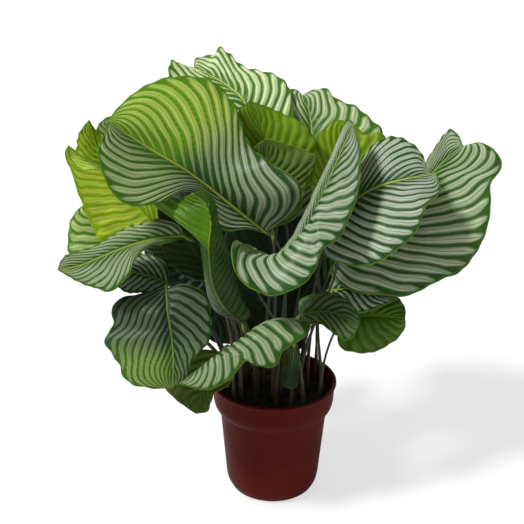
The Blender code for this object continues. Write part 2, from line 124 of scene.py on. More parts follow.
# ---- leaf outlines, as in the CAD model ----
LEAVES = {
    "leaf_left_broad": dict(
        rib=[(-14, -30, 396), (-58, -38, 437), (-112, -45, 484), (-162, -55, 520), (-212, -65, 558)],
        left=[(-40, -50, 409), (-70, -60, 414), (-98, -64, 442), (-116, -82, 471),
              (-152, -108, 466), (-183, -115, 467), (-206, -110, 484), (-222, -98, 524), (-214, -84, 546)],
        right=[(25, -45, 438), (27, -60, 478), (-10, -46, 500), (-36, -16, 514), (-56, 14, 553),
               (-86, 24, 584), (-132, 10, 594), (-170, -12, 587), (-197, -35, 571)],
        crown=(0.10, 0.10), root=(12, -4), climb=0.45, run=0.30),
    "leaf_back_left": dict(
        rib=[(-12, 52, 482), (-43, 74, 538), (-65, 90, 556), (-90, 108, 566), (-114, 125, 571)],
        left=[(-50, 45, 484), (-100, 48, 522), (-140, 60, 555), (-146, 85, 573), (-142, 105, 588),
              (-127, 118, 577)],
        right=[(17, 60, 505), (18, 100, 545), (0, 120, 563), (-22, 130, 565), (-48, 140, 571),
               (-77, 145, 594), (-90, 140, 583), (-111, 130, 584)],
        crown=(-0.05, 0.08), root=(-14, 18), climb=0.50, run=0.30),
    "leaf_back_right": dict(
        rib=[(54, 60, 421), (48, 72, 472), (46, 85, 495), (42, 100, 520), (33, 120, 536)],
        left=[(16, 70, 458), (-2, 85, 505), (-4, 95, 530), (9, 110, 541), (22, 118, 546)],
        right=[(101, 70, 455), (142, 75, 480), (140, 85, 500), (127, 95, 511), (106, 110, 524),
               (84, 121, 529), (64, 131, 543), (46, 128, 541)],
        crown=(0.08, 0.10), root=(22, 34), climb=0.50, run=0.25),
    "leaf_crown_left": dict(
        rib=[(6, 5, 410), (-4, 22, 456), (-20, 38, 504), (-38, 52, 549)],
        left=[(35, 20, 430), (52, 28, 492), (42, 36, 512), (28, 44, 525), (10, 50, 531), (-14, 52, 541)],
        right=[(-28, 0, 433), (-46, 18, 494), (-52, 32, 524), (-52, 42, 540), (-45, 48, 544)],
        crown=(-0.06, -0.06), root=(4, 10), climb=0.45, run=0.25),
    "leaf_crown_right": dict(
        rib=[(72, 30, 391), (78, 42, 436), (83, 52, 476), (89, 62, 520)],
        left=[(115, 25, 415), (146, 35, 460), (140, 50, 505), (116, 56, 504), (101, 60, 516)],
        right=[(46, 32, 424), (47, 40, 468), (50, 50, 498), (60, 55, 511), (76, 60, 521)],
        crown=(-0.06, -0.06), root=(38, 20), climb=0.45, run=0.25),
    "leaf_inner": dict(
        rib=[(-6, -18, 398), (-10, -12, 440), (-14, -5, 478), (-15, 3, 515)],
        left=[(27, -22, 418), (37, -14, 460), (50, -2, 489), (35, 4, 499), (10, 5, 507)],
        right=[(-27, -25, 421), (-36, -18, 464), (-32, -6, 502)],
        crown=(-0.05, -0.05), root=(0, -18), climb=0.45, run=0.25),
    "leaf_front_tall": dict(
        rib=[(-16, -105, 381), (10, -98, 379), (28, -88, 400), (40, -78, 427), (57, -65, 466),
             (80, -42, 518), (95, -30, 548)],
        left=[(0, -75, 385), (22, -50, 400), (37, -35, 425), (56, -18, 459), (76, -8, 509), (88, -15, 546)],
        right=[(-36, -108, 396), (-50, -112, 420), (-56, -122, 408), (-50, -138, 386), (-29, -148, 370),
               (-3, -150, 363), (30, -142, 374), (50, -128, 389), (57, -118, 411), (77, -108, 425),
               (93, -95, 456), (103, -80, 490), (103, -60, 521)],
        crown=(0.15, 0.12), root=(26, -20), climb=0.55, run=0.20),
    "leaf_right_upper": dict(
        rib=[(76, -20, 386), (98, -30, 440), (126, -40, 466), (160, -46, 480), (202, -42, 487)],
        left=[(76, 8, 420), (107, 22, 474), (125, 18, 505), (147, 12, 517), (164, 4, 515), (182, -10, 506),
              (189, -22, 494), (191, -34, 485)],
        right=[(61, -48, 377), (89, -70, 370), (122, -86, 379), (152, -92, 401), (177, -86, 429),
               (186, -76, 453), (205, -60, 467)],
        crown=(0.10, 0.10), root=(34, -8), climb=0.45, run=0.30),
    "leaf_right_outer": dict(
        rib=[(77, 15, 331), (124, 28, 371), (172, 34, 419), (201, 34, 454), (224, 30, 483), (242, 24, 501)],
        left=[(94, 48, 376), (145, 60, 436), (185, 60, 450), (200, 58, 470), (213, 52, 496), (226, 46, 516),
              (237, 36, 510)],
        right=[(76, 2, 320), (103, -20, 309), (143, -33, 311), (171, -38, 311), (190, -40, 321),
               (216, -40, 337), (243, -37, 350), (266, -30, 381), (275, -22, 407), (278, -16, 433),
               (276, -10, 462), (288, -6, 479), (286, -2, 498), (264, 8, 511)],
        crown=(0.10, 0.10), root=(46, 6), climb=0.45, run=0.35),
    "leaf_right_low": dict(
        rib=[(95, -15, 267), (127, -24, 276), (154, -29, 277), (173, -34, 278)],
        left=[(102, -4, 287), (134, 0, 300), (165, -6, 294), (174, -20, 284)],
        right=[(84, -31, 253), (86, -42, 238), (108, -50, 233), (137, -51, 237), (162, -45, 252),
               (173, -40, 267)],
        crown=(0.08, 0.08), root=(62, -28), climb=0.40, run=0.30),
    "leaf_right_under": dict(
        rib=[(70, 5, 299), (99, -5, 306), (133, -14, 304), (163, -24, 301)],
        left=[(80, 20, 317), (113, 25, 327), (146, 10, 318)],
        right=[(80, -14, 288), (99, -30, 284), (120, -36, 287), (144, -34, 297)],
        crown=(0.12, 0.12), root=(66, -8), climb=0.40, run=0.30),
    "leaf_front_right": dict(
        rib=[(30, -62, 294), (56, -76, 306), (81, -90, 310), (106, -102, 298)],
        left=[(32, -48, 308), (52, -46, 318), (76, -52, 323), (96, -66, 317), (109, -86, 304)],
        right=[(40, -78, 290), (60, -95, 296), (76, -106, 288), (90, -112, 283), (101, -110, 289)],
        crown=(0.08, 0.10), root=(40, -38), climb=0.40, run=0.30),
    "leaf_front_drooping": dict(
        rib=[(-17, -98, 285), (-46, -116, 282), (-80, -142, 272), (-121, -168, 247)],
        left=[(11, -96, 301), (43, -104, 305), (38, -124, 292), (12, -136, 281), (0, -148, 264),
              (-24, -150, 265), (-37, -150, 269), (-59, -164, 251), (-88, -172, 241)],
        right=[(-10, -72, 268), (-26, -74, 250), (-55, -98, 242), (-90, -136, 236)],
        crown=(0.16, 0.06), root=(2, -42), climb=0.40, run=0.25),
    "leaf_lower_left": dict(
        rib=[(-140, -100, 348), (-137, -120, 324), (-131, -136, 291), (-129, -148, 262), (-130, -158, 235)],
        left=[(-116, -98, 353), (-89, -104, 343), (-82, -118, 320), (-83, -135, 293), (-104, -148, 270),
              (-110, -156, 249)],
        right=[(-170, -102, 341), (-193, -106, 337), (-208, -112, 327), (-207, -120, 304),
               (-217, -128, 286), (-201, -138, 261), (-187, -148, 238), (-156, -157, 234)],
        crown=(0.08, 0.10), root=(-56, -24), climb=0.40, run=0.20),
    "leaf_left_wing": dict(
        rib=[(-116, -72, 408), (-152, -84, 409), (-183, -95, 405), (-217, -104, 394), (-246, -108, 382),
             (-277, -104, 373)],
        left=[(-133, -85, 405), (-160, -104, 407), (-176, -124, 396), (-184, -136, 382), (-205, -142, 362),
              (-229, -136, 364), (-252, -122, 367)],
        right=[(-125, -62, 420), (-149, -62, 426), (-173, -68, 424), (-202, -76, 414), (-234, -88, 398),
               (-267, -98, 390)],
        crown=(0.10, 0.16), root=(-44, -40), climb=0.55, run=0.25),
    "leaf_left_under": dict(
        rib=[(-137, -66, 338), (-164, -68, 350), (-190, -72, 356), (-211, -78, 344)],
        left=[(-150, -82, 331), (-170, -86, 334), (-191, -86, 334)],
        right=[(-145, -46, 359), (-172, -42, 370), (-201, -56, 366)],
        crown=(0.08, 0.08), root=(-58, -4), climb=0.40, run=0.30),
    "leaf_left_bright": dict(
        rib=[(-149, -25, 395), (-186, -26, 440), (-216, -30, 474), (-238, -38, 496), (-264, -48, 520)],
        left=[(-145, -40, 434), (-176, -56, 468), (-206, -70, 487), (-227, -74, 498), (-245, -71, 497),
              (-261, -60, 504)],
        right=[(-179, -10, 357), (-206, -6, 346), (-229, -12, 370), (-247, -20, 410), (-259, -34, 464),
               (-269, -45, 504)],
        crown=(-0.06, 0.10), root=(-40, 20), climb=0.55, run=0.25),
    "leaf_left_rear": dict(
        rib=[(-212, 15, 429), (-223, 20, 461), (-236, 25, 494), (-246, 28, 528)],
        left=[(-196, 28, 452), (-207, 31, 487), (-225, 31, 500), (-239, 30, 515)],
        right=[(-241, 8, 431), (-262, 15, 470), (-262, 21, 497), (-258, 25, 513)],
        crown=(-0.06, -0.06), root=(-52, 34), climb=0.60, run=0.12),
    "leaf_left_top": dict(
        rib=[(-181, 34, 443), (-196, 44, 478), (-211, 56, 504), (-228, 63, 520)],
        left=[(-213, 44, 454), (-235, 51, 478), (-240, 57, 506)],
        right=[(-156, 44, 473), (-170, 56, 510), (-201, 63, 524)],
        crown=(0.08, 0.08), root=(-36, 34), climb=0.50, run=0.30),
    "leaf_left_edge": dict(
        rib=[(-198, 5, 337), (-210, 10, 370), (-229, 15, 400), (-253, 18, 416)],
        left=[(-223, -12, 332), (-256, -15, 340), (-274, -10, 352), (-276, 0, 374), (-273, 8, 394),
              (-264, 14, 407)],
        right=[(-183, 24, 362), (-195, 34, 401), (-229, 30, 418)],
        crown=(0.10, 0.08), root=(-60, 12), climb=0.35, run=0.35),
    "leaf_centre_upright": dict(
        rib=[(-42, -92, 297), (-66, -108, 329), (-80, -116, 364), (-85, -116, 408), (-82, -110, 444),
             (-90, -102, 466), (-106, -101, 478)],
        left=[(-33, -82, 303), (-44, -76, 325), (-52, -72, 349), (-59, -72, 382), (-66, -72, 405),
              (-74, -76, 430), (-78, -86, 461), (-90, -92, 478)],
        right=[(-80, -70, 305), (-92, -66, 346), (-99, -70, 400), (-104, -76, 428), (-135, -76, 438),
               (-160, -66, 452), (-146, -62, 463), (-122, -76, 462)],
        crown=(-0.25, -0.12), root=(-24, -28), climb=0.35, run=0.20),
    "leaf_pot_side": dict(
        rib=[(-70, -48, 231), (-84, -68, 211), (-95, -84, 187), (-103, -96, 163)],
        left=[(-100, -52, 235), (-131, -62, 215), (-144, -74, 190), (-126, -86, 175)],
        right=[(-52, -56, 217), (-60, -78, 197), (-79, -90, 190), (-87, -96, 168)],
        crown=(-0.06, -0.06), root=(-54, -42), climb=0.45, run=0.40),
    "leaf_young": dict(
        rib=[(26, -54, 243), (24, -62, 223), (21, -70, 204), (21, -76, 191)],
        left=[(34, -55, 237), (32, -63, 216), (30, -74, 196)],
        right=[(18, -56, 238), (13, -64, 215), (12, -74, 197)],
        crown=(0.08, 0.08), root=(24, -46), climb=0.60, run=0.20),
    "leaf_centre_shaded": dict(
        rib=[(-80, -37, 336), (-100, -42, 366), (-121, -47, 399), (-153, -54, 437)],
        left=[(-67, -30, 376), (-80, -34, 410), (-112, -43, 434), (-138, -49, 442)],
        right=[(-108, -40, 332), (-134, -48, 354), (-146, -53, 378), (-150, -56, 404)],
        crown=(-0.06, -0.06), root=(-22, -8), climb=0.50, run=0.30),
    "leaf_core": dict(
        rib=[(4, 52, 178), (0, 60, 236), (-4, 67, 294), (-8, 72, 346), (-10, 76, 388)],
        left=[(38, 51, 186), (50, 54, 214), (52, 60, 260), (56, 68, 308), (46, 74, 352), (18, 77, 383)],
        right=[(-26, 51, 186), (-40, 54, 214), (-50, 60, 250), (-60, 67, 300), (-70, 73, 350),
               (-50, 77, 383)],
        crown=(-0.04, -0.04), root=(4, 47), climb=0.30, run=0.20),
    "leaf_rear_broad": dict(
        rib=[(15, 84, 345), (22, 116, 380), (30, 150, 392), (40, 185, 372), (45, 205, 338)],
        left=[(-20, 84, 362), (-42, 110, 386), (-40, 150, 390), (-12, 190, 362)],
        right=[(50, 84, 364), (84, 106, 396), (100, 140, 402), (86, 180, 372)],
        crown=(0.10, 0.10), root=(18, 68), climb=0.55, run=0.15),
    "leaf_rear_left": dict(
        rib=[(-62, 72, 292), (-98, 82, 310), (-138, 88, 322), (-184, 90, 328)],
        left=[(-66, 55, 270), (-98, 50, 262), (-138, 54, 274), (-176, 70, 304)],
        right=[(-52, 100, 312), (-72, 134, 362), (-112, 150, 394), (-158, 130, 382)],
        crown=(0.10, 0.10), root=(-32, 66), climb=0.50, run=0.15),
    "leaf_rear_right": dict(
        rib=[(60, 60, 254), (94, 84, 304), (130, 110, 324), (168, 132, 306)],
        left=[(42, 78, 278), (66, 122, 322), (104, 150, 330), (148, 156, 308)],
        right=[(86, 46, 278), (124, 56, 314), (160, 82, 332), (180, 110, 316)],
        crown=(0.10, 0.10), root=(60, 46), climb=0.50, run=0.20),
    "leaf_rear_low": dict(
        rib=[(-62, 54, 250), (-75, 64, 238), (-88, 72, 214), (-97, 78, 188)],
        left=[(-82, 46, 258), (-106, 52, 244), (-116, 60, 214), (-110, 71, 194)],
        right=[(-46, 62, 232), (-42, 76, 206), (-52, 86, 180), (-74, 88, 172)],
        crown=(0.08, 0.08), root=(-61, 40), climb=0.55, run=0.15),
}


# How each blade is marked and lit: the number of silver bands along its midrib, how far a band sweeps toward
# the tip on its way to the left and the right margin, how much painted light the blade gets (low values are
# painted shade, as deep inside the plant) and how far its green turns yellow, partly its own tone and partly
# a painted backlit glow.
# A painted sunlit patch, where given, sets the painted light and glow at the tip, and the part of the midrib
# over which they are reached. `bold` is the strength of the bands at the base and at the tip. `both` shows
# the upper side's marks underneath too.
MARKS = {
    "leaf_left_broad": dict(bands=17, sweep=(0.36, 0.42), light=0.44, yellow_and_glow=0.14,
                            painted_sunlit_patch=(0.68, 0.88, 0.46, 0.68)),
    "leaf_back_left": dict(bands=13, sweep=(0.35, 0.35), light=1.00, yellow_and_glow=0.30, bold=(1.4, 1.4)),
    "leaf_back_right": dict(bands=12, sweep=(0.35, 0.35), light=0.84, yellow_and_glow=0.30),
    "leaf_crown_left": dict(bands=12, sweep=(0.35, 0.35), light=0.22, yellow_and_glow=1.00, bold=(0.6, 0.6)),
    "leaf_crown_right": dict(bands=10, sweep=(0.35, 0.35), light=0.40, yellow_and_glow=1.00, bold=(0.7, 0.7)),
    "leaf_inner": dict(bands=12, sweep=(0.35, 0.35), light=0.50, yellow_and_glow=0.25, bold=(0.5, 0.3)),
    "leaf_front_tall": dict(bands=21, sweep=(0.30, 0.30), light=0.60, yellow_and_glow=0.08),
    "leaf_right_upper": dict(bands=15, sweep=(0.42, 0.46), light=0.79, yellow_and_glow=0.00),
    "leaf_right_outer": dict(bands=18, sweep=(0.36, 0.34), light=0.76, yellow_and_glow=0.14),
    "leaf_right_low": dict(bands=9, sweep=(0.35, 0.35), light=0.32, yellow_and_glow=0.85, bold=(0.3, 0.3)),
    "leaf_right_under": dict(bands=10, sweep=(0.35, 0.35), light=0.83, yellow_and_glow=0.00),
    "leaf_front_right": dict(bands=8, sweep=(0.35, 0.35), light=0.30, yellow_and_glow=0.30, bold=(0.5, 0.5)),
    "leaf_front_drooping": dict(bands=16, sweep=(0.30, 0.30), light=0.50, yellow_and_glow=0.24),
    "leaf_lower_left": dict(bands=11, sweep=(0.40, 0.80), light=0.11, yellow_and_glow=0.06,
                            painted_sunlit_patch=(0.33, 0.65, 0.45, 0.75)),
    "leaf_left_wing": dict(bands=15, sweep=(0.35, 0.35), light=0.54, yellow_and_glow=0.26),
    "leaf_left_under": dict(bands=9, sweep=(0.40, 0.40), light=0.42, yellow_and_glow=0.06),
    "leaf_left_bright": dict(bands=15, sweep=(0.35, 0.35), light=1.00, yellow_and_glow=1.00),
    "leaf_left_rear": dict(bands=12, sweep=(0.35, 0.35), light=0.50, yellow_and_glow=1.00),
    "leaf_left_top": dict(bands=10, sweep=(0.35, 0.35), light=0.45, yellow_and_glow=0.60),
    "leaf_left_edge": dict(bands=10, sweep=(0.35, 0.35), light=0.66, yellow_and_glow=0.60),
    "leaf_centre_upright": dict(bands=23, sweep=(0.06, 0.06), light=0.05, yellow_and_glow=0.70,
                                painted_sunlit_patch=(0.40, 1.00, 0.56, 0.72), bold=(0.75, 0.06), both=True),
    "leaf_pot_side": dict(bands=8, sweep=(0.35, 0.35), light=0.35, yellow_and_glow=0.30, bold=(0.5, 0.5)),
    "leaf_young": dict(bands=6, sweep=(0.90, 0.90), light=0.05, yellow_and_glow=0.15),
    "leaf_centre_shaded": dict(bands=10, sweep=(0.35, 0.35), light=0.06, yellow_and_glow=0.15),
    "leaf_core": dict(bands=12, sweep=(0.35, 0.35), light=0.00, yellow_and_glow=0.00, bold=(0.15, 0.15)),
    "leaf_rear_broad": dict(bands=12, sweep=(0.38, 0.38), light=0.35, yellow_and_glow=0.10),
    "leaf_rear_left": dict(bands=10, sweep=(0.38, 0.38), light=0.02, yellow_and_glow=0.05, bold=(0.2, 0.6)),
    "leaf_rear_right": dict(bands=11, sweep=(0.38, 0.38), light=0.22, yellow_and_glow=0.10),
    "leaf_rear_low": dict(bands=8, sweep=(0.38, 0.38), light=0.03, yellow_and_glow=0.05, bold=(0.35, 0.6)),
}

# What a blade's material knows at each point: the place along the bands, the share of the way from midrib to
# margin, the millimetres to the margin, the distance from the midrib in midrib widths, and three tones: the
# painted light level, the yellow tone that is partly a painted backlit glow, and the strength of the bands.
ATTRIBUTES = ("band", "side", "edge", "rib", "light", "yellow_and_glow", "bold")


# ---------------------------------------------------------------- geometry helpers
def smooth_curve(points, count):
    """Count + 1 points, evenly spaced along the Catmull-Rom curve through the given points."""
    points = [np.array(p, float) for p in points]
    knots = [points[0] * 2 - points[1], *points, points[-1] * 2 - points[-2]]
    dense = [points[0]]
    for a, b, c, d in zip(knots, knots[1:], knots[2:], knots[3:]):
        for t in np.linspace(0, 1, 25)[1:]:
            dense.append(0.5 * (2 * b + (c - a) * t + (2 * a - 5 * b + 4 * c - d) * t ** 2
                                + (3 * b - a - 3 * c + d) * t ** 3))
    dense = np.array(dense)
    lengths = np.concatenate([[0], np.cumsum(np.linalg.norm(np.diff(dense, axis=0), axis=1))])
    places = np.linspace(0, lengths[-1], count + 1)
    return np.stack([np.interp(places, lengths, dense[:, k]) for k in range(3)], axis=1)


def smooth_step(x, low, high):
    """0 below low, 1 above high, with an eased change between."""
    t = np.clip((x - low) / (high - low), 0, 1)
    return t * t * (3 - 2 * t)


def unit(v):
    """Vectors scaled to length 1."""
    return v / np.maximum(np.linalg.norm(v, axis=-1, keepdims=True), 1e-9)


def wave(x, seed, scale):
    """A smooth, repeatable wandering value between about -1 and 1."""
    rng = np.random.default_rng(seed)
    total = np.zeros_like(x)
    for octave in (1.0, 1.9, 3.3):
        total += np.sin(2 * math.pi * (x * octave / scale + rng.random())) / octave
    return total / 1.8


def new_mesh(name, points, faces):
    """A smooth-shaded mesh from points and faces."""
    mesh = bpy.data.meshes.new(name)
    mesh.from_pydata([tuple(p) for p in points], [], [tuple(f) for f in faces])
    mesh.shade_smooth()
    return mesh


def add_piece(name, mesh, materials):
    """A finished piece of the object that rides on its only body."""
    obj = bpy.data.objects.new(name, mesh)
    bpy.context.scene.collection.objects.link(obj)
    for material in materials:
        mesh.materials.append(material)
    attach(obj, "root")
    return obj


def set_attribute(mesh, name, values):
    """One number for each point of the mesh, for its material to read."""
    layer = mesh.attributes.new(name, "FLOAT", "POINT")
    layer.data.foreach_set("value", np.asarray(values, np.float32))


# ---------------------------------------------------------------- leaf blades
def blade_tones(marks, u, t, right):
    """Painted light, yellow tone with painted backlit glow, and band strength, u of the way to its tip and t
    outward.
    """
    end_painted_light, end_yellow_and_glow, start, stop = marks.get("painted_sunlit_patch", (marks["light"], marks["yellow_and_glow"], 0.4, 0.8))
    bold, end_bold = marks.get("bold", (1.0, 1.0))
    # Painted sunlit patch: painted light and glow rise over this stretch of the midrib, mostly on the right
    # half.
    share = smooth_step(u + 0.1 * t, start, stop) * (1 if right else 0.35)
    return {
        "light": marks["light"] + (end_painted_light - marks["light"]) * share,
        "yellow_and_glow": marks["yellow_and_glow"] + (end_yellow_and_glow - marks["yellow_and_glow"]) * share,
        "bold": bold + (end_bold - bold) * smooth_step(u, start, stop)}


def blade_surface(name, leaf, seed):
    """The blade's grid of points, and what its material needs to know at each of them."""
    marks = MARKS[name]
    rib_length = np.linalg.norm(np.diff(smooth_curve(leaf["rib"], 40), axis=0), axis=1).sum()
    rows = int(min(MOST_ROWS, max(FEWEST_ROWS, rib_length / ROW_SPACING)))
    rib = smooth_curve(leaf["rib"], rows)
    base, tip = leaf["rib"][0], leaf["rib"][-1]
    edges = [smooth_curve([base, *leaf[side], tip], rows) for side in ("left", "right")]
    along = unit(np.gradient(rib, axis=0))
    up = unit(np.cross(edges[1] - edges[0], along))
    up[0], up[-1] = up[1], up[-2]
    for _ in range(4):
        up[1:-1] = unit(up[:-2] + up[1:-1] * 2 + up[2:])
    u = np.linspace(0, 1, rows + 1)
    fade = np.clip(np.minimum(u, 1 - u) * 8, 0, 1)
    across = np.concatenate([-np.linspace(1, 0, COLUMNS + 1), np.linspace(0, 1, COLUMNS + 1)[1:]])
    midrib = MIDRIB_AT_TIP + (MIDRIB_AT_BASE - MIDRIB_AT_TIP) * (1 - u)
    midrib *= min(1.0, rib_length / FULL_RIB_LENGTH)
    points = np.zeros((rows + 1, len(across), 3))
    data = {key: np.zeros((rows + 1, len(across))) for key in ATTRIBUTES}
    for j, v in enumerate(across):
        half = 0 if v < 0 else 1
        crown = leaf["crown"][half]
        t = abs(v)
        outward = edges[half] - rib
        width = np.linalg.norm(outward, axis=1)
        swept = marks["sweep"][half] * (0.45 + 0.55 * smooth_step(u, 0.0, 0.35))
        wander = 0.16 * wave(u + 0.4 * t, seed + half, 0.6)
        phase = marks["bands"] * (u - swept * t ** 0.85) + wander + 0.5 * half
        crest = np.cos(2 * math.pi * (phase - 0.5))
        tall = np.minimum(1, width / 25) * fade
        pleat = crest * smooth_step(t, 0.02, 0.25) * (1 - 0.35 * smooth_step(t, 0.8, 1))
        fold = np.exp(-(((phase - 0.5) % 1 - 0.5) / 0.06) ** 2) * smooth_step(t, 0.05, 0.3)
        ripple = wave(u, seed + 7 + half, 0.30) * t ** 2.5
        groove = np.exp(-(t * width / GROOVE_WIDTH) ** 2)
        relief = PLEAT_HEIGHT * pleat - CREASE_DEPTH * fold + RIPPLE_HEIGHT * ripple - GROOVE_DEPTH * groove
        lift = crown * width * 4 * t * (1 - t) + relief * tall
        scallop = 1 + crest * SCALLOP_DEPTH * tall * t ** 6 / np.maximum(width, 10)
        points[:, j] = rib + outward * (t * scallop)[:, None] + up * lift[:, None]
        data["band"][:, j] = phase
        data["side"][:, j] = t
        data["edge"][:, j] = (1 - t) * width
        data["rib"][:, j] = t * width / midrib
        for key, values in blade_tones(marks, u, t, half == 1).items():
            data[key][:, j] = values
    return points, data


def blade_mesh(name, leaf, seed):
    """A closed thin blade: an upper and a lower skin joined round the margin."""
    points, data = blade_surface(name, leaf, seed)
    rows, columns = points.shape[0], points.shape[1]
    inner = points[1:-1]
    across = unit(np.gradient(points, axis=1))
    along = unit(np.gradient(points, axis=0))
    normal = unit(np.cross(across, along))[1:-1]
    base, tip = points[0, COLUMNS], points[-1, COLUMNS]
    base_up, tip_up = normal[0, COLUMNS], normal[-1, COLUMNS]
    taper = np.linspace(1.0, 0.25, rows - 2)[:, None]
    under = BLADE_THICKNESS + RIB_HEIGHT * np.exp(-(data["rib"][1:-1] / RIB_WIDTH) ** 2) * taper
    top = inner.reshape(-1, 3)
    bottom = (inner - normal * under[..., None]).reshape(-1, 3)
    count = len(top)
    places = np.concatenate([top, bottom, [base, tip, base - base_up * 1.2, tip - tip_up * 0.4]])
    grid = np.arange(count).reshape(rows - 2, columns)
    quads = np.stack([grid[:-1, :-1], grid[:-1, 1:], grid[1:, 1:], grid[1:, :-1]], axis=-1).reshape(-1, 4)
    upper = [tuple(q) for q in quads]
    lower = [tuple(q[::-1] + count) for q in quads]
    b, t, b2, t2 = 2 * count, 2 * count + 1, 2 * count + 2, 2 * count + 3
    upper += [(b, grid[0, j + 1], grid[0, j]) for j in range(columns - 1)]
    upper += [(t, grid[-1, j], grid[-1, j + 1]) for j in range(columns - 1)]
    lower += [(b2, grid[0, j] + count, grid[0, j + 1] + count) for j in range(columns - 1)]
    lower += [(t2, grid[-1, j + 1] + count, grid[-1, j] + count) for j in range(columns - 1)]
    rim = [b, *grid[:, -1], t, *grid[::-1, 0]]
    rim_low = [b2, *(grid[:, -1] + count), t2, *(grid[::-1, 0] + count)]
    walls = []
    for i in range(len(rim)):
        k = (i + 1) % len(rim)
        walls.append((rim[i], rim_low[i], rim_low[k], rim[k]))
    mesh = new_mesh(name, places * MM, upper + walls + lower)
    slots = np.zeros(len(mesh.polygons), int)
    slots[len(upper) + len(walls):] = 1
    mesh.polygons.foreach_set("material_index", slots)
    for key, values in data.items():
        flat = values[1:-1].reshape(-1)
        ends = [values[0, COLUMNS], values[-1, COLUMNS]]
        if key == "edge":
            ends = [6.0, 0.0]
        set_attribute(mesh, key, np.concatenate([flat, flat, ends, ends]))
    return mesh


# ---------------------------------------------------------------- stalks
def stalk_route(leaf):
    """Points up a stalk, in millimetres, from the soil to the blade's base."""
    rib = np.array(leaf["rib"], float)
    along = unit(rib[1] - rib[0])
    sides = np.array(leaf["right"][0], float) - np.array(leaf["left"][0], float)
    up = unit(np.cross(sides, along))
    end = rib[0] - up * STALK_CLEARANCE
    arriving = unit(along * 0.8 + up * 0.6)
    root = np.array([*leaf["root"], ROOT_HEIGHT])
    reach = np.linalg.norm(end - root)
    low = root + np.array([0, 0, 1.0]) * reach * leaf["climb"]
    high = end - arriving * reach * leaf["run"]
    t = np.linspace(0, 1, STALK_STEPS + 1)[:, None]
    route = root * (1 - t) ** 3 + low * 3 * t * (1 - t) ** 2 + high * 3 * t ** 2 * (1 - t) + end * t ** 3
    joint = [end + (rib[0] - up * 1.0 - end) * 0.5 + along * 1.5, rib[0] - up * 1.1 + along * 5.0]
    return np.concatenate([route, joint])


def stalk_mesh(name, leaf, seed):
    """A round stalk with a folded sheath at its foot and a swollen joint under the blade."""
    route = stalk_route(leaf)
    route[0, 2] -= ROOT_DEPTH
    steps = np.linalg.norm(np.diff(route, axis=0), axis=1)
    place = np.concatenate([[0], np.cumsum(steps)])
    share = place / place[-1]
    to_top = place[-1] - place
    radius = STALK_RADIUS + SHEATH_SWELLING * np.clip(1 - share / SHEATH_SHARE, 0, 1) ** 0.8
    radius += JOINT_SWELLING * np.exp(-((to_top - JOINT_PLACE) / JOINT_LENGTH) ** 2)
    radius[-1] = 0.6
    radius[-2] = 1.3
    tangent = unit(np.gradient(route, axis=0))
    side = unit(np.cross(tangent, np.array([0.21, 0.93, 0.11])))
    other = np.cross(tangent, side)
    turn = np.linspace(0, 2 * math.pi, STALK_SIDES, endpoint=False)
    groove = 1 - 0.16 * np.exp(-((turn - math.pi) / 0.5) ** 2)
    rings = []
    for i, centre in enumerate(route):
        sheath = np.clip(1 - share[i] / 0.4, 0, 1)
        shape = groove * (1 + 0.10 * sheath * np.cos(turn * 2 + seed))
        offsets = (np.cos(turn) * shape)[:, None] * side[i] + (np.sin(turn) * shape)[:, None] * other[i]
        rings.append(centre + offsets * radius[i])
    places = np.concatenate([np.array(rings).reshape(-1, 3), [route[0], route[-1]]])
    faces = []
    for i in range(len(route) - 1):
        a, b = i * STALK_SIDES, (i + 1) * STALK_SIDES
        for j in range(STALK_SIDES):
            k = (j + 1) % STALK_SIDES
            faces.append((a + j, a + k, b + k, b + j))
    last = (len(route) - 1) * STALK_SIDES
    low, high = len(places) - 2, len(places) - 1
    for j in range(STALK_SIDES):
        k = (j + 1) % STALK_SIDES
        faces.append((low, k, j))
        faces.append((high, last + j, last + k))
    mesh = new_mesh(name, places * MM, faces)
    set_attribute(mesh, "share", np.concatenate([np.repeat(share, STALK_SIDES), [0, 1]]))
    set_attribute(mesh, "to_top", np.concatenate([np.repeat(to_top, STALK_SIDES), [place[-1], 0]]))
    tone = 0.15 + 0.85 * np.random.default_rng(seed + 40).random()
    set_attribute(mesh, "tone", np.full(len(places), tone))
    return mesh


